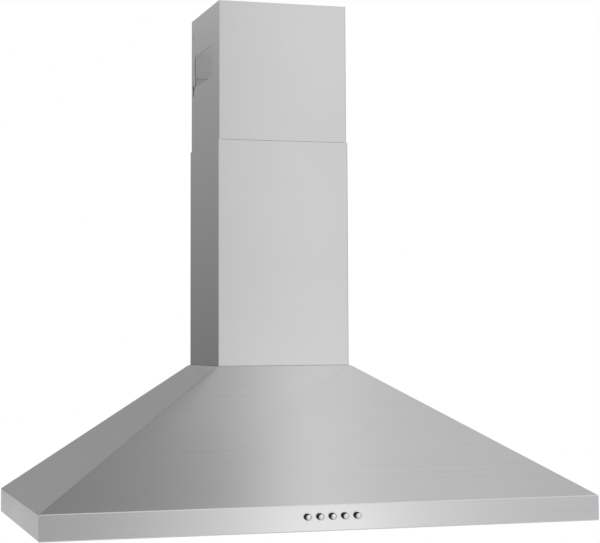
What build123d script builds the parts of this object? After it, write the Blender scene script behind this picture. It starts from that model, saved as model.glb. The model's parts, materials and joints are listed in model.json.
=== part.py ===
from build123d import *
import os
from math import hypot

# Canopy: a shallow pyramid of bright sheet on a straight rim. The wall is the plane y = 0,
# the front faces -Y, and z = 0 is the rim's lower edge.
hood_width = 900.0
hood_depth = 500.0
rim_height = 40.0
pyramid_height = 210.0
canopy_sheet = 1.0
canopy_bend = 1.6
rim_return = 14.0
seam_gap = 0.85
panel_fit = 0.3
cut_through = 5.0

# Wall fixings in the canopy's back panel
keyhole_spacing = 400.0
keyhole_height = 165.0
keyhole_radius = 6.5
keyhole_slot_radius = 3.2
keyhole_slot_length = 16.0
securing_spacing = 640.0
securing_height = 60.0
securing_radius = 3.2
cable_entry_radius = 11.0

# Flue: two U-shaped sheets that telescope, open towards the wall
flue_width = 230.0
flue_depth = 222.0
flue_sheet = 0.8
flue_bend = 1.2
flue_slip = 0.9
neck_ledge = 3.0
lower_flue_height = 385.0
lower_flue_flange = 18.0
upper_flue_height = 400.0
upper_flue_exposed = 240.0
upper_flue_flange = 42.0
flue_locator_height = 22.0
flue_fit = 0.4

# Rubber strip in the gap between the flue sheets, behind the lower one's top edge
flue_strip_sheet = 0.7
flue_strip_height = 12.0
flue_strip_rise = 0.6
flue_strip_inset = 4.0

# Vent windows and keyholes near the upper flue's top edge
window_length = 135.0
window_height = 55.0
window_from_wall = 32.0
window_below_top = 69.0
flue_keyhole_from_wall = 19.5
flue_keyhole_below_top = 125.0
flue_keyhole_radius = 5.0
flue_keyhole_slot_radius = 2.6
flue_keyhole_slot_length = 13.0

# Wall bracket that the upper flue is screwed to
bracket_sheet = 1.2
bracket_height = 95.0
bracket_below_top = 9.0
bracket_foot_width = 124.0
bracket_joggle = 4.0
bracket_tab_depth = 22.0
bracket_tab_height = 40.0
bracket_hole_spacing = 80.0
bracket_hole_radius = 3.2
bracket_screw_from_wall = 17.0
bracket_screw_below_top = 31.0
bracket_screw_head_radius = 4.5
bracket_screw_head_height = 1.4

# Bottom pan, set up inside the rim
pan_sheet = 1.0
pan_inset = 10.0
pan_recess = 15.0
lamp_strip = 118.0
filter_rear_margin = 40.0
filter_side_margin = 24.0
filter_gap = 20.0
filter_names = ("left", "centre", "right")

# Baffle filters
filter_clearance = 2.0
filter_thickness = 20.0
filter_drop = 4.0
filter_sheet = 1.0
filter_corner = 4.0
filter_border = 14.0
filter_front_border = 30.0
filter_seat_gap = 0.2
filter_tab_width = 30.0
filter_tab_reach = 10.0
filter_tab_spacing = 150.0
baffle_sheet = 0.6
baffle_width = 24.0
baffle_height = 11.0
baffle_pitch = 33.0

# Sliding latch in each filter's front border
latch_width = 40.0
latch_sheet = 1.5
latch_overlap = 6.0
latch_travel = 8.0
latch_fit = 0.2
latch_lip = 2.0
latch_lip_height = 4.2
latch_bevel = 1.0
pocket_width = 62.0
pocket_depth = 22.0
pocket_height = 11.5

# Lamps in the pan's front strip
lamp_from_side = 150.0
lamp_hole_radius = 29.0
lamp_can_radius = 28.4
lamp_can_height = 28.0
lamp_wall = 1.2
lamp_flange_radius = 33.0
lamp_bezel_radius = 34.0
lamp_bezel_height = 2.5
lamp_glass_radius = 25.5
lamp_glass_height = 2.4
lamp_board_height = 1.6
lamp_fit = 0.3

# Push buttons on the rim
button_count = 5
button_pitch = 20.0
button_height = 22.5
button_radius = 4.8
button_hole_radius = 5.4
button_reach = 8.5
button_sink = 4.0
button_travel = 4.0
button_chamfer = 0.6
button_stem_radius = 3.0
button_stem_length = 16.0
button_guide_gap = 0.3
switch_bank_end = 6.0
switch_bank_depth = 36.0
switch_bank_height = 19.0
switch_bank_gap = 0.5
switch_strap_sheet = 1.2
switch_strap_width = 16.0
switch_strap_foot = 14.0

# Blower: a forward-curved wheel in a scroll that blows up through the top plate
wheel_radius = 62.0
wheel_inner_radius = 50.0
wheel_side_gap = 4.0
wheel_ring_width = 3.0
wheel_disc = 2.0
wheel_disc_place = 14.0
blade_count = 30
blade_sheet = 1.2
blade_lead = 7.0
blade_bow = 2.6
hub_radius = 13.0
hub_length = 22.0
shaft_radius = 4.0
shaft_length = 62.0
shaft_fit = 0.05
blower_width = 100.0
blower_sheet = 1.0
scroll_start_radius = 75.0
scroll_step = 14.0
outlet_length = 100.0
outlet_rise = 91.0
outlet_neck = 11.0
outlet_flange = 152.0
inlet_radius = 50.0
inlet_lip = 3.0

# Motor, carried on rubber by the left side plate
motor_radius = 38.0
motor_length = 62.0
motor_flange_radius = 45.0
motor_flange = 2.5
motor_inset = 6.0
motor_edge = 3.0
motor_slot_count = 8
motor_slot_radius = 2.5
motor_slot_place_radius = 26.0
motor_slot_depth = 8.0
motor_arm_count = 3
motor_arm_width = 16.0
motor_arm_sheet = 2.0
motor_arm_reach = 57.0
grommet_radius = 5.5
grommet_length = 4.0
screw_radius = 2.0
screw_head_radius = 3.8
screw_head_height = 2.2
screw_hole_gap = 0.2

# Duct collar with a two-leaf backdraft damper
collar_radius = 75.0
collar_wall = 2.0
collar_height = 55.0
collar_flange = 160.0
collar_flange_height = 2.0
collar_screw_spacing = 136.0
collar_screw_length = 8.0
damper_height = 14.0
damper_pin_radius = 2.0
damper_pin_fit = 0.05
damper_knuckle_wall = 1.6
damper_knuckle_fit = 0.15
damper_knuckle_gap = 0.4
damper_knuckle_length = 30.0
damper_leaf = 1.2
damper_leaf_gap = 1.5
damper_root_gap = 0.6
damper_stop_width = 3.0
damper_stop_height = 1.5

# Electrical boxes on the back panel, inside the canopy
box_width = 90.0
box_height = 64.0
box_depth = 44.0
box_sheet = 1.0
box_offset = 235.0
box_bottom = 62.0
box_entry_height = 22.0
box_cover_lip = 8.0
box_screw_inset = 7.0
box_screw_length = 6.0
terminal_width = 60.0
terminal_height = 18.0
terminal_depth = 20.0
terminal_count = 6
terminal_well_radius = 2.6
terminal_well_depth = 9.0
driver_width = 110.0
driver_height = 34.0
driver_depth = 24.0
driver_offset = -240.0
driver_bottom = 70.0
driver_ear = 10.0
driver_ear_height = 3.0
capacitor_radius = 16.0
capacitor_length = 64.0
capacitor_offset = -130.0
capacitor_place = 190.0
capacitor_cap = 3.0
clamp_sheet = 1.0
clamp_width = 14.0
clamp_foot = 12.0
clamp_fit = 0.3

# Cables between the electrical pieces, and the saddle clips that hold them down
cable_radius = 2.5
cable_bend = 25.0
cable_lead = 25.0
cable_slant = 30.0
cable_exit = 13.0
cable_rear_line = 20.0
driver_cable_height = 82.0
motor_cable_height = 104.0
capacitor_cable_height = 119.0
lamp_cable_rise = 8.0
lamp_link_rise = 20.0
lamp_link_gap = 6.0
clip_sheet = 0.8
clip_foot = 4.0
clip_width = 10.0
panel_clip_place = 50.0
rib_clip_places = (120.0, 290.0)
link_clip_place = 110.0

# Places worked out from the sizes above
canopy_height = rim_height + pyramid_height
neck_width = flue_width + 2 * neck_ledge
neck_depth = flue_depth + neck_ledge
side_run = (hood_width - neck_width) / 2
front_run = hood_depth - neck_depth
bend_drop = canopy_sheet * (hypot(front_run, pyramid_height) - pyramid_height) / front_run
collar_y = -flue_depth / 2
upper_flue_width = flue_width - 2 * (flue_sheet + flue_slip)
upper_flue_front = flue_depth - flue_sheet - flue_slip
upper_flue_back = flue_sheet + flue_slip
upper_flue_top = canopy_height + lower_flue_height + upper_flue_exposed
pan_top = pan_recess + pan_sheet
pan_width = hood_width - 2 * pan_inset
pan_front = hood_depth - pan_inset
pan_back = canopy_sheet + panel_fit
opening_front = pan_front - lamp_strip
opening_rear = pan_back + filter_rear_margin
filter_count = len(filter_names)
filter_width = (pan_width - 2 * filter_side_margin - (filter_count - 1) * filter_gap) / filter_count
filter_places = [(i - (filter_count - 1) / 2) * (filter_width + filter_gap) for i in range(filter_count)]
filter_front = opening_front - filter_clearance
filter_rear = opening_rear + filter_clearance
filter_length = filter_front - filter_rear
filter_middle = (filter_front + filter_rear) / 2
filter_bottom = pan_recess - filter_drop
lamp_y = -(pan_front + opening_front) / 2
lamp_spacing = hood_width - 2 * lamp_from_side
blower_top = canopy_height - canopy_sheet
wheel_z = blower_top - outlet_rise
wheel_width = blower_width - 2 * wheel_side_gap
outlet_rear = scroll_step / 2 + scroll_start_radius + 2 * scroll_step
wheel_y = collar_y + outlet_length / 2 - outlet_rear
screw_hole_radius = screw_radius + screw_hole_gap


def write_piece(piece, name):
    piece.part.label = name
    export_step(piece.part, f"parts/{name}.step")


# Half width of the canopy's inside, and the depth of its front's inside face, at a height
def inner_half_width(height):
    climb = max(0.0, height - rim_height + bend_drop)
    return hood_width / 2 - canopy_sheet - climb * side_run / pyramid_height


def inner_front(height):
    climb = max(0.0, height - rim_height + bend_drop)
    return hood_depth - canopy_sheet - climb * front_run / pyramid_height


# The two planes on which the front sheet meets a side sheet, at the hip and at the rim's corner.
# Both face the front sheet, and gap moves them towards the side sheet.
def mitre_planes(side, gap):
    corner = Vector(side * hood_width / 2, -hood_depth, rim_height)
    hip = Vector(-side * side_run, front_run, pyramid_height)
    inward = Vector(-side, 1, -bend_drop / canopy_sheet)
    hip_normal = (hip.cross(inward) * side).normalized()
    rim_normal = Vector(-side, -1, 0).normalized()
    return [Plane(corner - normal * gap, z_dir=normal) for normal in (hip_normal, rim_normal)]


def front_zone(gap):
    with BuildPart() as zone:
        with Locations((0, -hood_depth, canopy_height / 2)):
            Box(2 * hood_width, 2 * hood_depth, 2 * canopy_height)
        for side in (-1, 1):
            for plane in mitre_planes(side, gap):
                split(bisect_by=plane, keep=Keep.TOP)
    return zone.part


# A rectangle that is centred in x and runs between two depths, counted forward from the wall
def draw_depth(width, front, back=0.0):
    with Locations((0, -back)):
        Rectangle(width, front - back, align=(Align.CENTER, Align.MAX))


# A U-shaped flue section with a return flange on each side of its open back
def draw_flue(width, front, back, flange):
    depth = front - back
    with Locations((0, -(front + back) / 2)):
        RectangleRounded(width, depth, flue_bend)
        inner_bend = flue_bend - flue_sheet
        RectangleRounded(width - 2 * flue_sheet, depth - 2 * flue_sheet, inner_bend, mode=Mode.SUBTRACT)
    with Locations((0, -back)):
        Rectangle(width - 2 * flange, 4 * flue_sheet, mode=Mode.SUBTRACT)


# A hanging hole: a round for the screw's head and a narrow slot that runs up or down from it
def draw_keyhole(x, height, radius, slot_radius, slot_length):
    with Locations((x, height)):
        Circle(radius)
    with Locations((x, height + slot_length / 2)):
        SlotCenterToCenter(abs(slot_length), 2 * slot_radius, rotation=90)


# Screws in the open block, heads on the planes and shanks behind them
def place_screws(planes, length, head_radius=screw_head_radius, head_height=screw_head_height):
    with Locations(*planes):
        Cylinder(head_radius, head_height, align=(Align.CENTER, Align.CENTER, Align.MIN))
        Cylinder(screw_radius, length, align=(Align.CENTER, Align.CENTER, Align.MAX))


# A saddle over a round piece: on the open sketch its feet lie along y = 0 and its bow stands above
def draw_saddle(radius, sheet, foot):
    bow = radius + clamp_fit
    outer = bow + sheet
    base = (Align.CENTER, Align.MIN)
    with Locations((0, bow)):
        Circle(outer)
    Rectangle(2 * outer, bow, align=base)
    Rectangle(2 * (outer + foot), sheet, align=base)
    with Locations((0, bow)):
        Circle(bow, mode=Mode.SUBTRACT)
    Rectangle(2 * bow, 2 * bow, mode=Mode.SUBTRACT)


os.makedirs("parts", exist_ok=True)

# Canopy shell, cut below into its separate sheets
with BuildPart() as canopy_shell:
    with BuildSketch():
        draw_depth(hood_width, hood_depth)
    extrude(amount=rim_height)
    with BuildSketch(Plane.XY.offset(rim_height)):
        draw_depth(hood_width, hood_depth)
    with BuildSketch(Plane.XY.offset(canopy_height)):
        draw_depth(neck_width, neck_depth)
    loft(ruled=True)
    knee = rim_height - bend_drop
    with BuildSketch(Plane.XY.offset(canopy_sheet)):
        draw_depth(2 * inner_half_width(knee), inner_front(knee), -cut_through)
    extrude(amount=knee - canopy_sheet, mode=Mode.SUBTRACT)
    for height in (knee, canopy_height + cut_through):
        with BuildSketch(Plane.XY.offset(height)):
            draw_depth(2 * inner_half_width(height), inner_front(height), -cut_through)
    loft(ruled=True, mode=Mode.SUBTRACT)
    with BuildSketch():
        draw_depth(hood_width - 2 * rim_return, hood_depth - rim_return, -cut_through)
        draw_depth(2 * inner_half_width(0), pan_back, -cut_through)
    extrude(amount=canopy_sheet, mode=Mode.SUBTRACT)

front_space = front_zone(0.0)
front_space_and_seam = front_zone(seam_gap)

with BuildPart() as canopy_front_panel:
    add(canopy_shell.part)
    add(front_space, mode=Mode.INTERSECT)
    bends = canopy_front_panel.edges().filter_by(Axis.X).group_by(Axis.Y)[0]
    fillet(bends, canopy_bend)
    with BuildSketch(Plane.XZ.offset(hood_depth)):
        with Locations((0, button_height)):
            with GridLocations(button_pitch, 0, button_count, 1):
                Circle(button_hole_radius)
    extrude(amount=-2 * canopy_sheet, mode=Mode.SUBTRACT)
write_piece(canopy_front_panel, "canopy_front_panel")

for name, keep, outermost in (("left", Keep.BOTTOM, 0), ("right", Keep.TOP, -1)):
    with BuildPart() as canopy_side_panel:
        add(canopy_shell.part)
        add(front_space_and_seam, mode=Mode.SUBTRACT)
        split(bisect_by=Plane.YZ, keep=keep)
        bends = canopy_side_panel.edges().filter_by(Axis.Y).group_by(Axis.X)[outermost]
        fillet(bends, canopy_bend)
    write_piece(canopy_side_panel, f"canopy_{name}_panel")

with BuildPart() as canopy_back_panel:
    with BuildSketch(Plane.XZ):
        with BuildLine():
            half_rim = inner_half_width(0) - panel_fit
            half_neck = inner_half_width(canopy_height) - panel_fit
            Polyline(
                (-half_rim, 0),
                (half_rim, 0),
                (half_rim, rim_height - bend_drop),
                (half_neck, canopy_height),
                (-half_neck, canopy_height),
                (-half_rim, rim_height - bend_drop),
                close=True,
            )
        make_face()
    extrude(amount=canopy_sheet)
    with BuildSketch(Plane.XZ):
        for x in (-keyhole_spacing / 2, keyhole_spacing / 2):
            draw_keyhole(x, keyhole_height, keyhole_radius, keyhole_slot_radius, keyhole_slot_length)
        with Locations((0, securing_height)):
            with GridLocations(securing_spacing, 0, 2, 1):
                Circle(securing_radius)
        with Locations((box_offset, box_bottom + box_entry_height)):
            Circle(cable_entry_radius)
    extrude(amount=canopy_sheet, mode=Mode.SUBTRACT)
write_piece(canopy_back_panel, "canopy_back_panel")

# Top plate with the blower's outlet and a low wall that the lower flue slips over
collar_screw_planes = [
    Plane(origin=(x, collar_y + y, canopy_height + collar_flange_height))
    for x in (-collar_screw_spacing / 2, collar_screw_spacing / 2)
    for y in (-collar_screw_spacing / 2, collar_screw_spacing / 2)
]
locator_half = flue_width / 2 - flue_sheet - flue_fit
locator_front = flue_depth - flue_sheet - flue_fit

with BuildPart() as canopy_top_plate:
    with BuildSketch(Plane.XY.offset(canopy_height - canopy_sheet)):
        half_neck = inner_half_width(canopy_height) - panel_fit
        draw_depth(2 * half_neck, inner_front(canopy_height) - panel_fit, canopy_sheet + panel_fit)
        with Locations((0, collar_y)):
            Circle(collar_radius - collar_wall, mode=Mode.SUBTRACT)
            with GridLocations(collar_screw_spacing, collar_screw_spacing, 2, 2):
                Circle(screw_hole_radius, mode=Mode.SUBTRACT)
    extrude(amount=canopy_sheet)
    with BuildSketch(Plane.XY.offset(canopy_height - canopy_sheet)):
        draw_depth(2 * locator_half, locator_front)
        with BuildSketch(mode=Mode.SUBTRACT):
            draw_depth(2 * (locator_half - canopy_sheet), locator_front - canopy_sheet, -cut_through)
        Rectangle(flue_width, 2 * lower_flue_flange, mode=Mode.SUBTRACT)
    extrude(amount=canopy_sheet + flue_locator_height)
write_piece(canopy_top_plate, "canopy_top_plate")

# Flue sheets
with BuildPart() as lower_flue:
    with BuildSketch(Plane.XY.offset(canopy_height)):
        draw_flue(flue_width, flue_depth, 0.0, lower_flue_flange)
    extrude(amount=lower_flue_height)
write_piece(lower_flue, "lower_flue")

with BuildPart() as flue_strip:
    strip_front = flue_depth - flue_sheet
    strip_bottom = canopy_height + lower_flue_height + flue_strip_rise - flue_strip_height
    with BuildSketch(Plane.XY.offset(strip_bottom)):
        draw_depth(upper_flue_width - 2 * flue_strip_inset, strip_front, strip_front - flue_strip_sheet)
    extrude(amount=flue_strip_height)
write_piece(flue_strip, "flue_strip")

window_middle = window_from_wall + window_length / 2
with BuildPart() as upper_flue:
    with BuildSketch(Plane.XY.offset(upper_flue_top - upper_flue_height)):
        draw_flue(upper_flue_width, upper_flue_front, upper_flue_back, upper_flue_flange)
    extrude(amount=upper_flue_height)
    with BuildSketch(Plane.YZ):
        with Locations((-window_middle, upper_flue_top - window_below_top - window_height / 2)):
            Rectangle(window_length, window_height)
        draw_keyhole(
            -flue_keyhole_from_wall,
            upper_flue_top - flue_keyhole_below_top,
            flue_keyhole_radius,
            flue_keyhole_slot_radius,
            -flue_keyhole_slot_length,
        )
        with Locations((-bracket_screw_from_wall, upper_flue_top - bracket_screw_below_top)):
            Circle(screw_hole_radius)
    extrude(amount=flue_width / 2, both=True, mode=Mode.SUBTRACT)
write_piece(upper_flue, "upper_flue")

# Wall bracket: a flat foot on the wall, wings that step forward past the flue's flanges, and side tabs
bracket_top = upper_flue_top - bracket_below_top
bracket_half = upper_flue_width / 2 - flue_sheet - flue_fit
bracket_front = upper_flue_back + flue_sheet + flue_fit + bracket_tab_depth
with BuildPart() as upper_flue_bracket:
    with BuildSketch(Plane.XY.offset(bracket_top - bracket_height)):
        wing = upper_flue_back + flue_sheet + flue_fit
        foot = bracket_foot_width / 2
        with BuildLine():
            Polyline(
                (-bracket_half, -bracket_front),
                (-bracket_half, -wing),
                (-foot - bracket_joggle, -wing),
                (-foot, 0),
                (foot, 0),
                (foot + bracket_joggle, -wing),
                (bracket_half, -wing),
                (bracket_half, -bracket_front),
            )
            offset(amount=bracket_sheet, side=Side.RIGHT, kind=Kind.INTERSECTION)
        make_face()
    extrude(amount=bracket_height)
    tab_middle = upper_flue_top - bracket_screw_below_top
    with BuildSketch(Plane.XZ.offset(wing + bracket_sheet)):
        with Locations((0, bracket_top - bracket_height / 2)):
            Rectangle(upper_flue_width, bracket_height)
        with Locations((0, tab_middle)):
            Rectangle(upper_flue_width, bracket_tab_height, mode=Mode.SUBTRACT)
    extrude(amount=bracket_tab_depth, mode=Mode.SUBTRACT)
    with BuildSketch(Plane.XZ):
        with Locations((0, bracket_top - bracket_height / 2)):
            with GridLocations(bracket_hole_spacing, 0, 2, 1):
                Circle(bracket_hole_radius)
    extrude(amount=bracket_sheet, mode=Mode.SUBTRACT)
    with BuildSketch(Plane.YZ):
        with Locations((-bracket_screw_from_wall, tab_middle)):
            Circle(screw_hole_radius)
    extrude(amount=flue_width / 2, both=True, mode=Mode.SUBTRACT)
write_piece(upper_flue_bracket, "upper_flue_bracket")

upper_flue_screw_planes = [
    Plane(origin=(x, -bracket_screw_from_wall, tab_middle), z_dir=(x, 0, 0))
    for x in (-upper_flue_width / 2, upper_flue_width / 2)
]
with BuildPart() as upper_flue_screws:
    place_screws(
        upper_flue_screw_planes, box_screw_length, bracket_screw_head_radius, bracket_screw_head_height
    )
write_piece(upper_flue_screws, "upper_flue_screws")

# Bottom pan: an upturned tray that stands on the rim's return
with BuildPart() as bottom_pan:
    with BuildSketch(Plane.XY.offset(canopy_sheet)):
        draw_depth(pan_width, pan_front, pan_back)
    extrude(amount=pan_top - canopy_sheet)
    with BuildSketch(Plane.XY.offset(canopy_sheet)):
        draw_depth(pan_width - 2 * pan_sheet, pan_front - pan_sheet, pan_back + pan_sheet)
    extrude(amount=pan_recess - canopy_sheet, mode=Mode.SUBTRACT)
    with BuildSketch(Plane.XY.offset(pan_recess)):
        for x in filter_places:
            with Locations((x, -filter_middle)):
                Rectangle(filter_width + 2 * filter_clearance, filter_length + 2 * filter_clearance)
        with Locations((0, lamp_y)):
            with GridLocations(lamp_spacing, 0, 2, 1):
                Circle(lamp_hole_radius)
    extrude(amount=pan_sheet, mode=Mode.SUBTRACT)
write_piece(bottom_pan, "bottom_pan")

# Baffle filters: a channel frame round two rows of interleaved channels, and a finger latch
baffle_front = filter_front - pocket_depth - panel_fit
baffle_rear = filter_rear + filter_sheet + panel_fit
baffle_low = filter_bottom + filter_sheet + filter_seat_gap
baffle_high = filter_bottom + filter_thickness - filter_sheet - filter_seat_gap
lower_baffles = int((filter_width - 2 * filter_border) // baffle_pitch)
latch_bottom = pan_top + filter_seat_gap + latch_fit
latch_tip = opening_front + latch_overlap
latch_rear = filter_front - filter_sheet - (pocket_depth - 2 * filter_sheet - latch_travel) + latch_fit


# A row of channels, each open on one side, that stands on a base height and opens away from it
def draw_channels(x, base, count, up):
    with Locations((x, base + up * baffle_height / 2)):
        with GridLocations(baffle_pitch, 0, count, 1):
            Rectangle(baffle_width, baffle_height)
    with Locations((x, base + up * (baffle_sheet + baffle_height / 2))):
        with GridLocations(baffle_pitch, 0, count, 1):
            Rectangle(baffle_width - 2 * baffle_sheet, baffle_height, mode=Mode.SUBTRACT)


for name, x in zip(filter_names, filter_places):
    pocket_middle = filter_front - pocket_depth / 2
    with BuildPart() as filter_frame:
        with BuildSketch(Plane.XY.offset(filter_bottom)):
            with Locations((x, -filter_middle)):
                RectangleRounded(filter_width, filter_length, filter_corner)
        extrude(amount=filter_thickness)
        with BuildSketch(Plane.XY.offset(filter_bottom + filter_sheet)):
            with Locations((x, -filter_middle)):
                inner_width = filter_width - 2 * filter_sheet
                inner_length = filter_length - 2 * filter_sheet
                RectangleRounded(inner_width, inner_length, filter_corner - filter_sheet)
        extrude(amount=filter_thickness - 2 * filter_sheet, mode=Mode.SUBTRACT)
        with BuildSketch(Plane.XY.offset(filter_bottom)):
            with Locations((x, -(filter_front - filter_front_border))):
                opening_length = filter_length - filter_front_border - filter_border
                Rectangle(filter_width - 2 * filter_border, opening_length, align=(Align.CENTER, Align.MIN))
        extrude(amount=filter_thickness, mode=Mode.SUBTRACT)
        with BuildSketch(Plane.XY.offset(filter_bottom)):
            with Locations((x, -pocket_middle)):
                Rectangle(pocket_width + 2 * filter_sheet, pocket_depth)
        extrude(amount=pocket_height + filter_sheet)
        with BuildSketch(Plane.XY.offset(filter_bottom)):
            with Locations((x, -pocket_middle)):
                Rectangle(pocket_width, pocket_depth - 2 * filter_sheet)
        extrude(amount=pocket_height, mode=Mode.SUBTRACT)
        with BuildSketch(Plane.XZ.offset(filter_front)):
            with Locations((x, latch_bottom + latch_sheet / 2)):
                Rectangle(latch_width + 2 * latch_fit, latch_sheet + 2 * latch_fit)
        extrude(amount=-filter_sheet, mode=Mode.SUBTRACT)
        with BuildSketch(Plane.XY.offset(pan_top + filter_seat_gap)):
            with Locations((x, -filter_rear - filter_sheet)):
                with GridLocations(filter_tab_spacing, 0, 2, 1):
                    tab_length = filter_tab_reach + filter_sheet
                    Rectangle(filter_tab_width, tab_length, align=(Align.CENTER, Align.MIN))
        extrude(amount=filter_sheet)
    write_piece(filter_frame, f"filter_frame_{name}")

    with BuildPart() as filter_baffles:
        with BuildSketch(Plane.XZ.offset(baffle_rear)):
            draw_channels(x, baffle_low, lower_baffles, 1)
        extrude(amount=baffle_front - baffle_rear)
        with BuildSketch(Plane.XZ.offset(baffle_rear)):
            draw_channels(x, baffle_high, lower_baffles + 1, -1)
        extrude(amount=baffle_front - baffle_rear)
    write_piece(filter_baffles, f"filter_baffles_{name}")

    with BuildPart() as filter_latch:
        with BuildSketch(Plane.YZ.offset(x - latch_width / 2)):
            with BuildLine():
                latch_top = latch_bottom + latch_sheet
                Polyline(
                    (-latch_tip, latch_bottom),
                    (-latch_rear - latch_lip, latch_bottom),
                    (-latch_rear - latch_lip, latch_bottom - latch_lip_height),
                    (-latch_rear, latch_bottom - latch_lip_height),
                    (-latch_rear, latch_top),
                    (-latch_tip + latch_bevel, latch_top),
                    (-latch_tip, latch_top - latch_bevel),
                    close=True,
                )
            make_face()
        extrude(amount=latch_width)
    write_piece(filter_latch, f"filter_latch_{name}")

# Lamps
for name, x in (("left", -lamp_spacing / 2), ("right", lamp_spacing / 2)):
    can_inner_radius = lamp_can_radius - lamp_wall
    glass_seat = pan_recess - lamp_bezel_height + lamp_wall
    with BuildPart() as lamp_can:
        with BuildSketch(Plane.XY.offset(pan_top)):
            with Locations((x, lamp_y)):
                Circle(lamp_flange_radius)
        extrude(amount=lamp_wall)
        with BuildSketch(Plane.XY.offset(pan_top)):
            with Locations((x, lamp_y)):
                Circle(lamp_can_radius)
        extrude(amount=lamp_can_height)
        with BuildSketch(Plane.XY.offset(pan_top)):
            with Locations((x, lamp_y)):
                Circle(can_inner_radius)
        extrude(amount=lamp_can_height - lamp_wall, mode=Mode.SUBTRACT)
    write_piece(lamp_can, f"lamp_can_{name}")

    with BuildPart() as lamp_bezel:
        with BuildSketch(Plane.XY.offset(pan_recess - lamp_bezel_height)):
            with Locations((x, lamp_y)):
                Circle(lamp_bezel_radius)
        extrude(amount=lamp_bezel_height)
        rims = lamp_bezel.edges().group_by(Axis.Z)[0]
        chamfer(rims, lamp_bezel_height / 2)
        with BuildSketch(Plane.XY.offset(pan_recess)):
            with Locations((x, lamp_y)):
                Circle(can_inner_radius - lamp_fit)
        extrude(amount=pan_sheet + lamp_bezel_height)
        with BuildSketch(Plane.XY.offset(glass_seat)):
            with Locations((x, lamp_y)):
                Circle(lamp_glass_radius + lamp_fit)
        extrude(amount=lamp_can_height, mode=Mode.SUBTRACT)
        with BuildSketch(Plane.XY.offset(pan_recess - lamp_bezel_height)):
            with Locations((x, lamp_y)):
                Circle(lamp_glass_radius - lamp_wall)
        extrude(amount=lamp_bezel_height, mode=Mode.SUBTRACT)
    write_piece(lamp_bezel, f"lamp_bezel_{name}")

    with BuildPart() as lamp_glass:
        with BuildSketch(Plane.XY.offset(glass_seat)):
            with Locations((x, lamp_y)):
                Circle(lamp_glass_radius)
        extrude(amount=lamp_glass_height)
    write_piece(lamp_glass, f"lamp_glass_{name}")

    with BuildPart() as lamp_board:
        with BuildSketch(Plane.XY.offset(pan_top + lamp_can_height - lamp_wall - lamp_board_height)):
            with Locations((x, lamp_y)):
                Circle(can_inner_radius - lamp_fit)
        extrude(amount=lamp_board_height)
    write_piece(lamp_board, f"lamp_board_{name}")

# Buttons, the switch bank that they work in and the strap that holds it down on the pan
bank_front = hood_depth - button_sink - button_travel - switch_bank_gap
bank_width = (button_count - 1) * button_pitch + 2 * (button_radius + switch_bank_end)
for i in range(button_count):
    x = (i - (button_count - 1) / 2) * button_pitch
    with BuildPart() as button:
        with BuildSketch(Plane.XZ.offset(hood_depth + button_reach)):
            with Locations((x, button_height)):
                Circle(button_radius)
        extrude(amount=-button_reach - button_sink)
        chamfer(button.edges().group_by(Axis.Y)[0], button_chamfer)
        with BuildSketch(Plane.XZ.offset(hood_depth - button_sink)):
            with Locations((x, button_height)):
                Circle(button_stem_radius)
        extrude(amount=-button_stem_length)
    write_piece(button, f"button_{i + 1}")

with BuildPart() as switch_bank:
    with BuildSketch(Plane.XY.offset(pan_top)):
        draw_depth(bank_width, bank_front, bank_front - switch_bank_depth)
    extrude(amount=switch_bank_height)
    with BuildSketch(Plane.XZ.offset(bank_front)):
        with Locations((0, button_height)):
            with GridLocations(button_pitch, 0, button_count, 1):
                Circle(button_stem_radius + button_guide_gap)
    guide_depth = button_stem_length + button_travel - (hood_depth - button_sink - bank_front)
    extrude(amount=-guide_depth - switch_bank_gap, mode=Mode.SUBTRACT)
write_piece(switch_bank, "switch_bank")

with BuildPart() as switch_strap:
    strap_middle = bank_front - switch_bank_depth / 2
    with BuildSketch(Plane.XZ.offset(strap_middle - switch_strap_width / 2)):
        inner_width = bank_width + 2 * panel_fit
        outer_width = inner_width + 2 * switch_strap_sheet
        with Locations((0, pan_top)):
            base = (Align.CENTER, Align.MIN)
            Rectangle(outer_width + 2 * switch_strap_foot, switch_strap_sheet, align=base)
            Rectangle(outer_width, switch_bank_height + panel_fit + switch_strap_sheet, align=base)
            Rectangle(inner_width, switch_bank_height + panel_fit, align=base, mode=Mode.SUBTRACT)
    extrude(amount=switch_strap_width)
write_piece(switch_strap, "switch_strap")


# A plane across the wheel's axis, seen from the right, with y to its right and z up
def wheel_plane(x):
    return Plane(origin=(x, wheel_y, wheel_z), x_dir=(0, 1, 0), z_dir=(1, 0, 0))


# The scroll's outline: three quarter arcs about the corners of a small square, then a straight
# outlet that runs past the blower's top
def scroll_outline(past):
    half = scroll_step / 2
    throat_y = outlet_rear - outlet_length
    top = outlet_rise + past
    with BuildLine() as outline:
        Line((-half, scroll_start_radius - half), (throat_y, outlet_rise - outlet_neck))
        Line((throat_y, outlet_rise - outlet_neck), (throat_y, top))
        CenterArc((-half, -half), scroll_start_radius, 90, 90)
        CenterArc((half, -half), scroll_start_radius + scroll_step, 180, 90)
        CenterArc((half, half), scroll_start_radius + 2 * scroll_step, 270, 90)
        Line((outlet_rear, half), (outlet_rear, top))
        Line((outlet_rear, top), (throat_y, top))
    return outline.edges()


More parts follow.
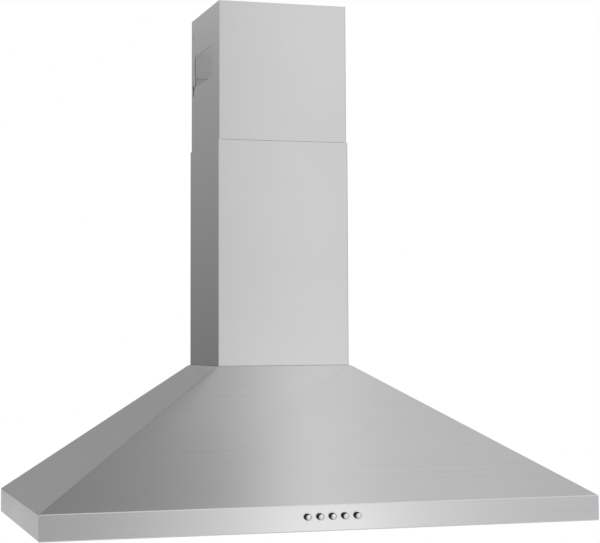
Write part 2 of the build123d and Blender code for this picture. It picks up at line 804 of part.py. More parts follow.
with BuildPart() as blower_scroll:
    with BuildSketch(wheel_plane(-blower_width / 2)):
        make_face(scroll_outline(cut_through))
        offset(amount=-blower_sheet, mode=Mode.SUBTRACT)
    extrude(amount=blower_width)
    split(bisect_by=Plane.XY.offset(blower_top), keep=Keep.BOTTOM)
    with BuildSketch(Plane.XY.offset(blower_top - blower_sheet)):
        with Locations((0, collar_y)):
            Rectangle(outlet_flange, outlet_flange)
            Rectangle(blower_width, outlet_length - 2 * blower_sheet, mode=Mode.SUBTRACT)
            with GridLocations(collar_screw_spacing, collar_screw_spacing, 2, 2):
                Circle(screw_hole_radius, mode=Mode.SUBTRACT)
    extrude(amount=blower_sheet)
write_piece(blower_scroll, "blower_scroll")

for name, plate_x, lip_x in (
    ("left", -blower_width / 2 - blower_sheet, -blower_width / 2),
    ("right", blower_width / 2, blower_width / 2 - inlet_lip),
):
    with BuildPart() as blower_side:
        with BuildSketch(wheel_plane(plate_x)):
            make_face(scroll_outline(-blower_sheet - panel_fit))
            Circle(inlet_radius, mode=Mode.SUBTRACT)
            with PolarLocations(motor_arm_reach, motor_arm_count):
                Circle(screw_hole_radius, mode=Mode.SUBTRACT)
        extrude(amount=blower_sheet)
        with BuildSketch(wheel_plane(lip_x)):
            Circle(inlet_radius + blower_sheet)
            Circle(inlet_radius, mode=Mode.SUBTRACT)
        extrude(amount=inlet_lip)
    write_piece(blower_side, f"blower_side_{name}")

# Fan wheel: forward-curved blades between two rings, on a disc and a hub
with BuildSketch() as blade_section:
    with BuildLine():
        blade_tip = ((wheel_radius**2 - blade_lead**2) ** 0.5, blade_lead)
        blade_middle = ((wheel_inner_radius + blade_tip[0]) / 2 + blade_bow, blade_lead / 2 - blade_bow)
        ThreePointArc((wheel_inner_radius, 0), blade_middle, blade_tip)
        offset(amount=blade_sheet, side=Side.LEFT)
    make_face()

with BuildPart() as fan_wheel:
    with BuildSketch(wheel_plane(-wheel_width / 2)):
        with PolarLocations(0, blade_count):
            add(blade_section.sketch)
    extrude(amount=wheel_width)
    for ring_x in (-wheel_width / 2, wheel_width / 2 - wheel_ring_width):
        with BuildSketch(wheel_plane(ring_x)):
            Circle(wheel_radius + blade_sheet)
            Circle(wheel_inner_radius, mode=Mode.SUBTRACT)
        extrude(amount=wheel_ring_width)
    with BuildSketch(wheel_plane(wheel_disc_place - wheel_disc / 2)):
        Circle(wheel_inner_radius + wheel_ring_width)
    extrude(amount=wheel_disc)
    with BuildSketch(wheel_plane(wheel_disc_place - hub_length / 2)):
        Circle(hub_radius)
    extrude(amount=hub_length)
    with BuildSketch(wheel_plane(wheel_disc_place)):
        Circle(shaft_radius + shaft_fit)
    extrude(amount=hub_length, both=True, mode=Mode.SUBTRACT)
write_piece(fan_wheel, "fan_wheel")

# Motor on its three-armed bracket, with rubber under each arm
bracket_face = -blower_width / 2 - blower_sheet - grommet_length - motor_arm_sheet
motor_start = bracket_face - motor_flange - motor_inset
shaft_start = wheel_disc_place + hub_length / 2 - shaft_length
with BuildPart() as motor_body:
    with BuildSketch(wheel_plane(motor_start)):
        Circle(motor_radius)
    extrude(amount=motor_length)
    fillet(motor_body.edges().filter_by(GeomType.CIRCLE), motor_edge)
    with BuildSketch(wheel_plane(bracket_face - motor_flange)):
        Circle(motor_flange_radius)
    extrude(amount=motor_flange)
    with BuildSketch(wheel_plane(motor_start)):
        with PolarLocations(motor_slot_place_radius, motor_slot_count):
            Circle(motor_slot_radius)
    extrude(amount=motor_slot_depth, mode=Mode.SUBTRACT)
    with BuildSketch(wheel_plane(shaft_start - switch_bank_gap)):
        Circle(shaft_radius + shaft_fit)
    extrude(amount=motor_length, mode=Mode.SUBTRACT)
write_piece(motor_body, "motor_body")

with BuildPart() as motor_shaft:
    with BuildSketch(wheel_plane(shaft_start)):
        Circle(shaft_radius)
    extrude(amount=shaft_length)
    chamfer(motor_shaft.edges().group_by(Axis.X)[-1], shaft_radius / 8)
write_piece(motor_shaft, "motor_shaft")

with BuildPart() as motor_bracket:
    with BuildSketch(wheel_plane(bracket_face)):
        Circle(motor_flange_radius)
        with PolarLocations(motor_arm_reach / 2, motor_arm_count):
            Rectangle(motor_arm_reach, motor_arm_width)
        with PolarLocations(motor_arm_reach, motor_arm_count):
            Circle(motor_arm_width / 2)
            Circle(screw_hole_radius, mode=Mode.SUBTRACT)
        Circle(motor_radius + panel_fit, mode=Mode.SUBTRACT)
    extrude(amount=motor_arm_sheet)
write_piece(motor_bracket, "motor_bracket")

with BuildPart() as motor_grommets:
    with BuildSketch(wheel_plane(bracket_face + motor_arm_sheet)):
        with PolarLocations(motor_arm_reach, motor_arm_count):
            Circle(grommet_radius)
            Circle(screw_hole_radius, mode=Mode.SUBTRACT)
    extrude(amount=grommet_length)
write_piece(motor_grommets, "motor_grommets")

with BuildPart() as motor_screws:
    motor_screw_plane = Plane(origin=(bracket_face, wheel_y, wheel_z), x_dir=(0, 1, 0), z_dir=(-1, 0, 0))
    with BuildSketch(motor_screw_plane):
        with PolarLocations(motor_arm_reach, motor_arm_count):
            Circle(screw_head_radius)
    extrude(amount=screw_head_height)
    with BuildSketch(motor_screw_plane):
        with PolarLocations(motor_arm_reach, motor_arm_count):
            Circle(screw_radius)
    extrude(amount=-motor_arm_sheet - grommet_length - 2 * blower_sheet)
write_piece(motor_screws, "motor_screws")

# Duct collar, its screws, and two damper leaves on one pin
damper_z = canopy_height + damper_height
collar_inner_radius = collar_radius - collar_wall
knuckle_radius = damper_pin_radius + damper_knuckle_wall + damper_knuckle_fit
with BuildPart() as duct_collar:
    with BuildSketch(Plane.XY.offset(canopy_height)):
        with Locations((0, collar_y)):
            RectangleRounded(collar_flange, collar_flange, screw_head_radius * 2)
            with GridLocations(collar_screw_spacing, collar_screw_spacing, 2, 2):
                Circle(screw_hole_radius, mode=Mode.SUBTRACT)
    extrude(amount=collar_flange_height)
    with BuildSketch(Plane.XY.offset(canopy_height)):
        with Locations((0, collar_y)):
            Circle(collar_radius)
    extrude(amount=collar_height)
    with BuildSketch(Plane.XY.offset(canopy_height)):
        with Locations((0, collar_y)):
            Circle(collar_inner_radius)
    extrude(amount=collar_height, mode=Mode.SUBTRACT)
    with BuildSketch(Plane.XY.offset(damper_z - damper_leaf / 2 - panel_fit - damper_stop_height)):
        with Locations((0, collar_y)):
            Circle(collar_inner_radius + collar_wall / 2)
            Circle(collar_inner_radius - damper_stop_width, mode=Mode.SUBTRACT)
    extrude(amount=damper_stop_height)
    with BuildSketch(Plane.YZ):
        with Locations((collar_y, damper_z)):
            Circle(damper_pin_radius + damper_pin_fit)
    extrude(amount=collar_radius, both=True, mode=Mode.SUBTRACT)
write_piece(duct_collar, "duct_collar")

with BuildPart() as collar_screws:
    place_screws(collar_screw_planes, collar_screw_length)
write_piece(collar_screws, "collar_screws")

with BuildPart() as damper_pin:
    with BuildSketch(Plane.YZ):
        with Locations((collar_y, damper_z)):
            Circle(damper_pin_radius)
    extrude(amount=collar_radius - panel_fit, both=True)
write_piece(damper_pin, "damper_pin")

for name, side, first in (("front", -1, 0), ("rear", 1, 1)):
    leaf_root = knuckle_radius + damper_root_gap
    knuckles = [(i - 2) * damper_knuckle_length for i in (first, first + 2)]
    with BuildPart() as damper_leaf_piece:
        with BuildSketch(Plane.XY.offset(damper_z - damper_leaf / 2)):
            with Locations((0, collar_y)):
                Circle(collar_inner_radius - damper_leaf_gap)
            with Locations((0, collar_y + side * (leaf_root - collar_radius))):
                Rectangle(2 * collar_radius, 2 * collar_radius, mode=Mode.SUBTRACT)
            for start in knuckles:
                with Locations((start + damper_knuckle_length / 2, collar_y + side * leaf_root / 2)):
                    Rectangle(damper_knuckle_length - damper_knuckle_gap, leaf_root + damper_leaf)
        extrude(amount=damper_leaf)
        for start in knuckles:
            with BuildSketch(Plane.YZ.offset(start + damper_knuckle_gap / 2)):
                with Locations((collar_y, damper_z)):
                    Circle(knuckle_radius)
            extrude(amount=damper_knuckle_length - damper_knuckle_gap)
        with BuildSketch(Plane.YZ):
            with Locations((collar_y, damper_z)):
                Circle(damper_pin_radius + damper_knuckle_fit)
        extrude(amount=collar_radius, both=True, mode=Mode.SUBTRACT)
    write_piece(damper_leaf_piece, f"damper_leaf_{name}")

# Junction box with its cover and terminals
box_middle = box_bottom + box_height / 2
box_front = canopy_sheet + box_depth
box_screw_spacing = box_width - 2 * box_screw_inset
with BuildPart() as junction_box:
    with BuildSketch(Plane.XZ.offset(canopy_sheet)):
        with Locations((box_offset, box_middle)):
            Rectangle(box_width, box_height)
        with Locations((box_offset, box_bottom + box_entry_height)):
            Circle(cable_entry_radius, mode=Mode.SUBTRACT)
    extrude(amount=box_depth)
    with BuildSketch(Plane.XZ.offset(canopy_sheet + box_sheet)):
        with Locations((box_offset, box_middle)):
            Rectangle(box_width - 2 * box_sheet, box_height - 2 * box_sheet)
    extrude(amount=box_depth, mode=Mode.SUBTRACT)
    with BuildSketch(Plane.XZ.offset(box_front - box_sheet)):
        with Locations((box_offset, box_middle)):
            with GridLocations(box_width - 2 * box_screw_inset, 0, 2, 1):
                Rectangle(2 * box_screw_inset, 2 * box_screw_inset)
                Circle(screw_hole_radius, mode=Mode.SUBTRACT)
    extrude(amount=box_sheet)
write_piece(junction_box, "junction_box")

with BuildPart() as junction_box_cover:
    with BuildSketch(Plane.XZ.offset(box_front - box_cover_lip)):
        with Locations((box_offset, box_middle)):
            Rectangle(box_width + 2 * (panel_fit + box_sheet), box_height + 2 * (panel_fit + box_sheet))
    extrude(amount=box_cover_lip + box_sheet)
    with BuildSketch(Plane.XZ.offset(box_front - box_cover_lip)):
        with Locations((box_offset, box_middle)):
            Rectangle(box_width + 2 * panel_fit, box_height + 2 * panel_fit)
    extrude(amount=box_cover_lip, mode=Mode.SUBTRACT)
    with BuildSketch(Plane.XZ.offset(box_front)):
        with Locations((box_offset, box_middle)):
            with GridLocations(box_screw_spacing, 0, 2, 1):
                Circle(screw_hole_radius)
    extrude(amount=box_sheet, mode=Mode.SUBTRACT)
write_piece(junction_box_cover, "junction_box_cover")

box_screw_planes = [
    Plane(origin=(box_offset + x, -box_front - box_sheet, box_middle), z_dir=(0, -1, 0))
    for x in (-box_screw_spacing / 2, box_screw_spacing / 2)
]
with BuildPart() as junction_box_screws:
    place_screws(box_screw_planes, box_screw_length)
write_piece(junction_box_screws, "junction_box_screws")

with BuildPart() as terminal_block:
    terminal_middle = box_bottom + box_height - box_sheet - panel_fit - terminal_height / 2
    with BuildSketch(Plane.XZ.offset(canopy_sheet + box_sheet)):
        with Locations((box_offset, terminal_middle)):
            Rectangle(terminal_width, terminal_height)
    extrude(amount=terminal_depth)
    with BuildSketch(Plane.XZ.offset(canopy_sheet + box_sheet + terminal_depth)):
        with Locations((box_offset, terminal_middle)):
            with GridLocations(terminal_width / terminal_count, 0, terminal_count, 1):
                Circle(terminal_well_radius)
    extrude(amount=-terminal_well_depth, mode=Mode.SUBTRACT)
write_piece(terminal_block, "terminal_block")

# Lamp driver and motor capacitor on the back panel
with BuildPart() as lamp_driver:
    with BuildSketch(Plane.XZ.offset(canopy_sheet)):
        with Locations((driver_offset, driver_bottom + driver_height / 2)):
            RectangleRounded(driver_width + 2 * driver_ear, driver_height, driver_ear_height)
            with GridLocations(driver_width + driver_ear, 0, 2, 1):
                Circle(screw_hole_radius, mode=Mode.SUBTRACT)
    extrude(amount=driver_ear_height)
    with BuildSketch(Plane.XZ.offset(canopy_sheet)):
        with Locations((driver_offset, driver_bottom + driver_height / 2)):
            RectangleRounded(driver_width, driver_height, driver_ear_height)
    extrude(amount=driver_depth)
write_piece(lamp_driver, "lamp_driver")

capacitor_y = -canopy_sheet - clamp_fit - capacitor_radius
with BuildPart() as motor_capacitor:
    with BuildSketch(Plane.YZ.offset(capacitor_offset - capacitor_length / 2)):
        with Locations((capacitor_y, capacitor_place)):
            Circle(capacitor_radius)
    extrude(amount=capacitor_length)
    fillet(motor_capacitor.edges().filter_by(GeomType.CIRCLE), capacitor_cap)
write_piece(motor_capacitor, "motor_capacitor")

# A plane across a line that runs along X on the back panel, with x up and y away from the panel
def panel_plane(x, height):
    return Plane(origin=(x, -canopy_sheet, height), x_dir=(0, 0, 1), z_dir=(1, 0, 0))


with BuildPart() as capacitor_clamp:
    with BuildSketch(panel_plane(capacitor_offset - clamp_width / 2, capacitor_place)):
        draw_saddle(capacitor_radius, clamp_sheet, clamp_foot)
    extrude(amount=clamp_width)
write_piece(capacitor_clamp, "capacitor_clamp")

# Wiring: each cable runs on the back panel or the pan between the pieces that it joins
panel_line = -canopy_sheet - clamp_fit - cable_radius
pan_line = pan_top + clamp_fit + cable_radius
exit_y = -canopy_sheet - cable_exit
box_left = box_offset - box_width / 2
driver_right = driver_offset + driver_width / 2
capacitor_right = capacitor_offset + capacitor_length / 2
motor_turn = motor_start - 2 * cable_lead
rib_x = (filter_width + filter_gap) / 2
bank_rear = bank_front - switch_bank_depth
bank_turn = -(latch_tip + bank_rear) / 2
bank_cable_z = pan_top + 2 * switch_bank_height / 3
lamp_side = lamp_spacing / 2 - lamp_can_radius - lamp_fit
link_line = -bank_rear + lamp_link_gap + cable_radius
link_top = pan_top + lamp_link_rise

driver_route = [
    (box_left, exit_y, driver_cable_height),
    (box_left - cable_lead, exit_y, driver_cable_height),
    (box_left - cable_lead - cable_slant, panel_line, driver_cable_height),
    (driver_right + cable_lead + cable_slant, panel_line, driver_cable_height),
    (driver_right + cable_lead, exit_y, driver_cable_height),
    (driver_right, exit_y, driver_cable_height),
]
motor_route = [
    (box_left, exit_y, motor_cable_height),
    (box_left - cable_lead, exit_y, motor_cable_height),
    (box_left - cable_lead - cable_slant, panel_line, motor_cable_height),
    (motor_turn + cable_slant, panel_line, motor_cable_height),
    (motor_turn, (panel_line + wheel_y) / 2, (motor_cable_height + wheel_z) / 2),
    (motor_turn, wheel_y, wheel_z),
    (motor_start, wheel_y, wheel_z),
]
capacitor_route = [
    (capacitor_right, capacitor_y, capacitor_place),
    (capacitor_right + cable_lead, capacitor_y, capacitor_place),
    (capacitor_right + cable_lead + cable_slant, panel_line, capacitor_place),
    (box_left - 2 * cable_lead - cable_slant, panel_line, capacitor_place),
    (box_left - cable_slant, exit_y, capacitor_cable_height),
    (box_left, exit_y, capacitor_cable_height),
]
switch_route = [
    (box_left + cable_lead, -cable_rear_line, box_bottom),
    (box_left + cable_lead, -cable_rear_line, pan_line),
    (rib_x, -cable_rear_line, pan_line),
    (rib_x, -latch_tip, pan_line),
    (rib_x - cable_slant, bank_turn, bank_cable_z),
    (cable_slant, bank_turn, bank_cable_z),
    (cable_slant, -bank_rear, bank_cable_z),
]
lamp_route = [
    (driver_offset, -cable_rear_line, driver_bottom),
    (driver_offset, -cable_rear_line, pan_line),
    (-rib_x, -cable_rear_line, pan_line),
    (-rib_x, -latch_tip, pan_line),
    (-rib_x - cable_lead - cable_slant, lamp_y, pan_top + lamp_cable_rise),
    (-lamp_side, lamp_y, pan_top + lamp_cable_rise),
]
link_start = [
    (lamp_side, lamp_y, link_top),
    (lamp_side - cable_lead, lamp_y, link_top),
    (lamp_side - cable_lead - 2 * cable_slant, link_line, pan_line),
]
link_route = link_start + [(-x, y, z) for x, y, z in reversed(link_start)]

with BuildPart() as wiring_harness:
    for route in (driver_route, motor_route, capacitor_route, switch_route, lamp_route, link_route):
        with BuildLine() as cable_line:
            FilletPolyline(*route, radius=cable_bend)
        with BuildSketch(Plane(origin=cable_line.line @ 0, z_dir=cable_line.line % 0)):
            Circle(cable_radius)
        sweep(path=cable_line.line)
write_piece(wiring_harness, "wiring_harness")

clip_planes = [panel_plane(panel_clip_place, capacitor_place)]
for x in (-panel_clip_place, panel_clip_place):
    clip_planes += [panel_plane(x, height) for height in (driver_cable_height, motor_cable_height)]
for x in (-rib_x, rib_x):
    for y in rib_clip_places:
        clip_planes.append(Plane(origin=(x, -y, pan_top), x_dir=(-1, 0, 0), z_dir=(0, 1, 0)))
for x in (-link_clip_place, link_clip_place):
    clip_planes.append(Plane(origin=(x, link_line, pan_top), x_dir=(0, 1, 0), z_dir=(1, 0, 0)))

with BuildPart() as cable_clips:
    for plane in clip_planes:
        with BuildSketch(plane):
            draw_saddle(cable_radius, clip_sheet, clip_foot)
        extrude(amount=clip_width / 2, both=True)
write_piece(cable_clips, "cable_clips")
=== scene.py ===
import bmesh
import bpy
import json
from math import cos, pi, radians, sin
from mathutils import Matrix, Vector


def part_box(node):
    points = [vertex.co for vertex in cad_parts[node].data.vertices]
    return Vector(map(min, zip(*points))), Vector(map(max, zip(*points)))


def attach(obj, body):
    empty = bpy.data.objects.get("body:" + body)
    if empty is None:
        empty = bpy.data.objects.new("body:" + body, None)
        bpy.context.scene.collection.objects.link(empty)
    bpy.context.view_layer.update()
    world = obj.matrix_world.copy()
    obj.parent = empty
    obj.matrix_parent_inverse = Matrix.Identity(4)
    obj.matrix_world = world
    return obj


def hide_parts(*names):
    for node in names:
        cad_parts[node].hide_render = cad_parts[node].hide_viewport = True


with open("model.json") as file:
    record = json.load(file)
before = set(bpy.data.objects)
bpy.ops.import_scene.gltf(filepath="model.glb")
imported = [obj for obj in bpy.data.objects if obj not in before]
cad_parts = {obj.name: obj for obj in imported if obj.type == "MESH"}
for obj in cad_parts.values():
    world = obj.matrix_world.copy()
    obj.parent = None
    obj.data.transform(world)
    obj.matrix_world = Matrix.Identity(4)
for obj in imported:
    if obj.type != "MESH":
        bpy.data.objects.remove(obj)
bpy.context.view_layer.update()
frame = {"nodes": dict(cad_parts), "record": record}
nodes = frame["nodes"]
record = frame["record"]
print("frame loaded:", len(nodes), "nodes")


# inputs of a node or group, linked or set to a plain value
def setInputs(tree, made, inputs):
    for name, value in inputs.items():
        if isinstance(value, bpy.types.NodeSocket):
            tree.links.new(value, made.inputs[name])
        else:
            made.inputs[name].default_value = value


def addNode(tree, kind, inputs=None, **settings):
    made = tree.nodes.new("ShaderNode" + kind)
    for name, value in settings.items():
        setattr(made, name, value)
    setInputs(tree, made, inputs or {})
    return made


def addMath(tree, operation, first, second=0.0, third=0.0):
    inputs = {0: first, 1: second, 2: third}
    return addNode(tree, "Math", inputs, operation=operation).outputs[0]


def multiplyAll(tree, product, *others):
    for value in others:
        product = addMath(tree, "MULTIPLY", product, value)
    return product


def addAll(tree, total, *others):
    for value in others:
        total = addMath(tree, "ADD", total, value)
    return total


def addVectorMath(tree, operation, first, second=(0, 0, 0)):
    made = addNode(tree, "VectorMath", {0: first, 1: second}, operation=operation)
    return made.outputs["Value" if operation in ("DOT_PRODUCT", "LENGTH") else "Vector"]


# a noise's plain value and its colour
def addNoise(tree, place, scale, detail, roughness=0.5):
    inputs = {"Vector": place, "Scale": scale, "Detail": detail, "Roughness": roughness}
    return addNode(tree, "TexNoise", inputs).outputs[:2]


# a value carried smoothly from one range into another
def easeBetween(tree, value, start, end, low=0.0, high=1.0, ease="SMOOTHSTEP"):
    inputs = {"Value": value, "From Min": start, "From Max": end, "To Min": low, "To Max": high}
    return addNode(tree, "MapRange", inputs, interpolation_type=ease).outputs["Result"]


# where a value lies in a range
def within(tree, value, low, high):
    return addMath(tree, "COMPARE", value, (low + high) / 2, (high - low) / 2)


# a Mix node takes values on its sockets 2 and 3, and colours on 6 and 7
def blendValues(tree, share, first, second):
    return addNode(tree, "Mix", {0: share, 2: first, 3: second}, data_type="FLOAT").outputs[0]


def blendColours(tree, share, first, second):
    return addNode(tree, "Mix", {0: share, 6: first, 7: second}, data_type="RGBA").outputs[2]


def opaque(colour):
    return (*colour, 1)


# a shader group: inputs by label and kind, outputs all plain values
def newGroup(name, inputs, outputs):
    tree = bpy.data.node_groups.new(name, "ShaderNodeTree")
    for label, kind in inputs.items():
        tree.interface.new_socket(label, in_out="INPUT", socket_type="NodeSocket" + kind)
    for label in outputs:
        tree.interface.new_socket(label, in_out="OUTPUT", socket_type="NodeSocketFloat")
    given = tree.nodes.new("NodeGroupInput").outputs
    out = tree.nodes.new("NodeGroupOutput").inputs
    return tree, given, out


def useGroup(tree, group, inputs):
    made = tree.nodes.new("ShaderNodeGroup")
    made.node_tree = group
    setInputs(tree, made, inputs)
    return made.outputs


# long fine lines left by the brushing belt, and slow drift of the finish over the sheet
brushLook = {
    "fineScale": 1.0,
    "fineDetail": 4.0,
    "fineRoughness": 0.62,
    "broadScale": 0.21,
    "broadDetail": 2.0,
    "broadShare": 0.34,
    "driftDetail": 3.0,
}


def makeBrushLines(look):
    inputs = {"Vector": "Vector", "Stretch": "Vector", "Drift Size": "Float"}
    tree, given, out = newGroup("brushLines", inputs, ("Lines", "Drift"))
    drawn = addVectorMath(tree, "MULTIPLY", given["Vector"], given["Stretch"])
    fine = addNoise(tree, drawn, look["fineScale"], look["fineDetail"], look["fineRoughness"])[0]
    broad = addNoise(tree, drawn, look["broadScale"], look["broadDetail"])[0]
    tree.links.new(blendValues(tree, look["broadShare"], fine, broad), out["Lines"])
    drift = addNoise(tree, given["Vector"], given["Drift Size"], look["driftDetail"])[0]
    tree.links.new(drift, out["Drift"])
    return tree


# zinc crystals: each cell has its own tone and a fine raised edge
spangleLook = {"wobble": 0.006, "wobbleDetail": 2.0, "edgeWidth": 0.06}


def makeSpangle(look):
    inputs = {"Vector": "Vector", "Cells": "Float"}
    tree, given, out = newGroup("zincSpangle", inputs, ("Tone", "Edge"))
    wobble = addNoise(tree, given["Vector"], given["Cells"], look["wobbleDetail"])[1]
    moved = addVectorMath(tree, "MULTIPLY", wobble, [look["wobble"]] * 3)
    cells = {"Vector": addVectorMath(tree, "ADD", given["Vector"], moved), "Scale": given["Cells"]}
    shade = addNode(tree, "TexVoronoi", cells, feature="F1").outputs["Color"]
    tree.links.new(addNode(tree, "SeparateColor", {0: shade}).outputs[0], out["Tone"])
    away = addNode(tree, "TexVoronoi", cells, feature="DISTANCE_TO_EDGE").outputs["Distance"]
    tree.links.new(easeBetween(tree, away, 0.0, look["edgeWidth"], 1.0, 0.0), out["Edge"])
    return tree


# fine texture of a mould or a coat of paint, and slow drift of its tone
grainLook = {"detail": 2.0, "roughness": 0.55, "driftSize": 22.0, "driftDetail": 3.0}


def makeMouldGrain(look):
    inputs = {"Vector": "Vector", "Grain Size": "Float"}
    tree, given, out = newGroup("mouldGrain", inputs, ("Grain", "Drift"))
    fine = addNoise(tree, given["Vector"], given["Grain Size"], look["detail"], look["roughness"])[0]
    tree.links.new(fine, out["Grain"])
    drift = addNoise(tree, given["Vector"], look["driftSize"], look["driftDetail"])[0]
    tree.links.new(drift, out["Drift"])
    return tree


# where handling has rubbed an edge: a mask along corners, broken up by noise
rubLook = {
    "radius": 0.0008,
    "samples": 4,
    "cornerEdge": (0.995, 0.86),
    "patchDetail": 3.0,
    "patchEdge": (0.42, 0.62),
}


def makeEdgeRub(look):
    inputs = {"Vector": "Vector", "Break Up": "Float"}
    tree, given, out = newGroup("edgeRub", inputs, ("Rub",))
    soft = addNode(tree, "Bevel", {"Radius": look["radius"]}, samples=look["samples"]).outputs[0]
    flat = addNode(tree, "NewGeometry").outputs["Normal"]
    facing = addVectorMath(tree, "DOT_PRODUCT", soft, flat)
    corner = easeBetween(tree, facing, *look["cornerEdge"])
    patch = addNoise(tree, given["Vector"], given["Break Up"], look["patchDetail"])[0]
    broken = easeBetween(tree, patch, *look["patchEdge"])
    tree.links.new(multiplyAll(tree, corner, broken), out["Rub"])
    return tree


brushLines = makeBrushLines(brushLook)
zincSpangle = makeSpangle(spangleLook)
mouldGrain = makeMouldGrain(grainLook)
edgeRub = makeEdgeRub(rubLook)
print("effects built: brush lines, spangle, mould grain, edge rub")

noiseSpan = (0.3, 0.7)  # where most of a noise's values lie


def startFinish(name):
    made = bpy.data.materials.new(name)
    made.use_nodes = True
    tree = made.node_tree
    tree.nodes.clear()
    surface = addNode(tree, "BsdfPrincipled")
    addNode(tree, "OutputMaterial", {"Surface": surface.outputs[0]})
    place = addNode(tree, "TexCoord").outputs["Object"]
    return made, tree, surface, place


def toneBy(tree, value, look):
    return blendColours(tree, value, opaque(look["darkTone"]), opaque(look["lightTone"]))


def roughBy(tree, value, look, span=noiseSpan):
    return easeBetween(tree, value, *span, look["roughLow"], look["roughHigh"], "LINEAR")


# colour, roughness and bump of a finish go to its shader
def feedSurface(tree, surface, colour, rough, height, look):
    tree.links.new(colour, surface.inputs["Base Color"])
    tree.links.new(rough, surface.inputs["Roughness"])
    bump = {"Height": height, "Strength": look["bump"], "Distance": look["bumpDepth"]}
    tree.links.new(addNode(tree, "Bump", bump).outputs[0], surface.inputs["Normal"])


# the direction in which a brushed face spreads its highlights: across the grain
def acrossGrain(tree, upright):
    facing = addNode(tree, "NewGeometry").outputs["Normal"]
    grain = addVectorMath(tree, "CROSS_PRODUCT", upright, facing)
    across = addVectorMath(tree, "CROSS_PRODUCT", facing, grain)
    return addVectorMath(tree, "NORMALIZE", across)


# inside of a flue: mill finish, with painted shade in the folds at the back and on the cut edges of
# the openings; a band of painted shade also runs along the foot, outside and in
def flueInside(tree, place, colour, rough, look):
    facing = addNode(tree, "NewGeometry").outputs["Normal"]
    fromMiddle = addVectorMath(tree, "SUBTRACT", place, look["middle"])
    level = addVectorMath(tree, "MULTIPLY", fromMiddle, (1, 1, 0))
    outward = addVectorMath(tree, "DOT_PRODUCT", level, facing)
    inner = easeBetween(tree, outward, *look["innerEdge"])
    across, depth, height = addNode(tree, "SeparateXYZ", {0: place}).outputs[:]
    across = addMath(tree, "ABSOLUTE", across)
    underPlate = within(tree, height, *look["underPlate"])
    # painted shade in the inner fold of the back flange, in a band below the plate's foot
    foldShade = multiplyAll(
        tree,
        within(tree, across, *look["foldShadeSide"]),
        within(tree, depth, *look["foldShadeDepth"]),
        underPlate,
    )
    darkTone = opaque(look["darkTone"])
    mill = blendColours(tree, foldShade, opaque(look["colour"]), darkTone)
    colour = blendColours(tree, inner, colour, mill)
    rough = blendValues(tree, inner, rough, look["rough"])
    # the painted shade on the cut edges is lighter at the window, under the plate
    clear = multiplyAll(tree, within(tree, depth, *look["window"]), underPlate)
    sideways = addNode(tree, "SeparateXYZ", {0: facing}).outputs[0]
    # painted shade on the cut edges of the window and the keyhole in the side sheets
    edgeShade = multiplyAll(
        tree,
        within(tree, across, *look["sideSheet"]),
        within(tree, depth, *look["openings"]),
        within(tree, sideways, *look["endwise"]),
        easeBetween(tree, clear, 0.0, 1.0, 1.0, look["edgeShadeUnderPlateShare"]),
    )
    # painted shade: a dark band along the flue's foot, standing in for the shadowed gap at the
    # canopy
    foot = easeBetween(tree, height, *look["foot"], look["footShare"], 0.0)
    # the painted shade of the cut edges and the foot, blended towards the dark tone
    dark = addMath(tree, "MAXIMUM", edgeShade, foot)
    return blendColours(tree, dark, colour, darkTone), rough


def brushedSteel(name, look):
    made, tree, surface, place = startFinish(name)
    brushed = {"Vector": place, "Stretch": look["stretch"], "Drift Size": look["driftSize"]}
    marks = useGroup(tree, brushLines, brushed)
    dark = opaque([c * (1 - look["toneSpread"]) for c in look["colour"]])
    light = opaque([c * (1 + look["toneSpread"]) for c in look["colour"]])
    tone = easeBetween(tree, marks["Lines"], *noiseSpan, ease="LINEAR")
    colour = blendColours(tree, tone, dark, light)
    drift = easeBetween(tree, marks["Drift"], *noiseSpan, -look["driftRough"], look["driftRough"])
    rough = addAll(tree, roughBy(tree, marks["Lines"], look), drift)
    if "inside" in look:
        colour, rough = flueInside(tree, place, colour, rough, look["inside"])
    feedSurface(tree, surface, colour, rough, marks["Lines"], look)
    tree.links.new(acrossGrain(tree, look["upright"]), surface.inputs["Tangent"])
    surface.inputs["Metallic"].default_value = 1.0
    surface.inputs["Anisotropic"].default_value = look["anisotropy"]
    return made


def zincCoated(name, look):
    made, tree, surface, place = startFinish(name)
    crystals = useGroup(tree, zincSpangle, {"Vector": place, "Cells": look["cells"]})
    tone = crystals["Tone"]
    rough = roughBy(tree, tone, look, (0.0, 1.0))
    feedSurface(tree, surface, toneBy(tree, tone, look), rough, crystals["Edge"], look)
    surface.inputs["Metallic"].default_value = 1.0
    return made


def moulded(name, look):
    made, tree, surface, place = startFinish(name)
    grain = useGroup(tree, mouldGrain, {"Vector": place, "Grain Size": look["grainSize"]})
    rub = useGroup(tree, edgeRub, {"Vector": place, "Break Up": look["breakUp"]})["Rub"]
    worn = multiplyAll(tree, rub, look["rubShare"])
    drifted = toneBy(tree, grain["Drift"], look)
    colour = blendColours(tree, worn, drifted, opaque(look["rubTone"]))
    feedSurface(tree, surface, colour, roughBy(tree, grain["Grain"], look), grain["Grain"], look)
    if look.get("metalUnder"):
        tree.links.new(worn, surface.inputs["Metallic"])
    surface.inputs["Specular IOR Level"].default_value = look["gloss"]
    return made


def platedMetal(name, look):
    made, tree, surface, place = startFinish(name)
    brushed = {"Vector": place, "Stretch": look["stretch"], "Drift Size": look["driftSize"]}
    marks = useGroup(tree, brushLines, brushed)
    drifted = toneBy(tree, marks["Drift"], look)
    feedSurface(tree, surface, drifted, roughBy(tree, marks["Lines"], look), marks["Lines"], look)
    surface.inputs["Metallic"].default_value = 1.0
    return made


def frostedGlass(name, look):
    made, tree, surface, place = startFinish(name)
    grain = useGroup(tree, mouldGrain, {"Vector": place, "Grain Size": look["grainSize"]})
    tinted = toneBy(tree, grain["Drift"], look)
    feedSurface(tree, surface, tinted, roughBy(tree, grain["Grain"], look), grain["Grain"], look)
    surface.inputs["Transmission Weight"].default_value = look["clear"]
    surface.inputs["IOR"].default_value = look["ior"]
    return made


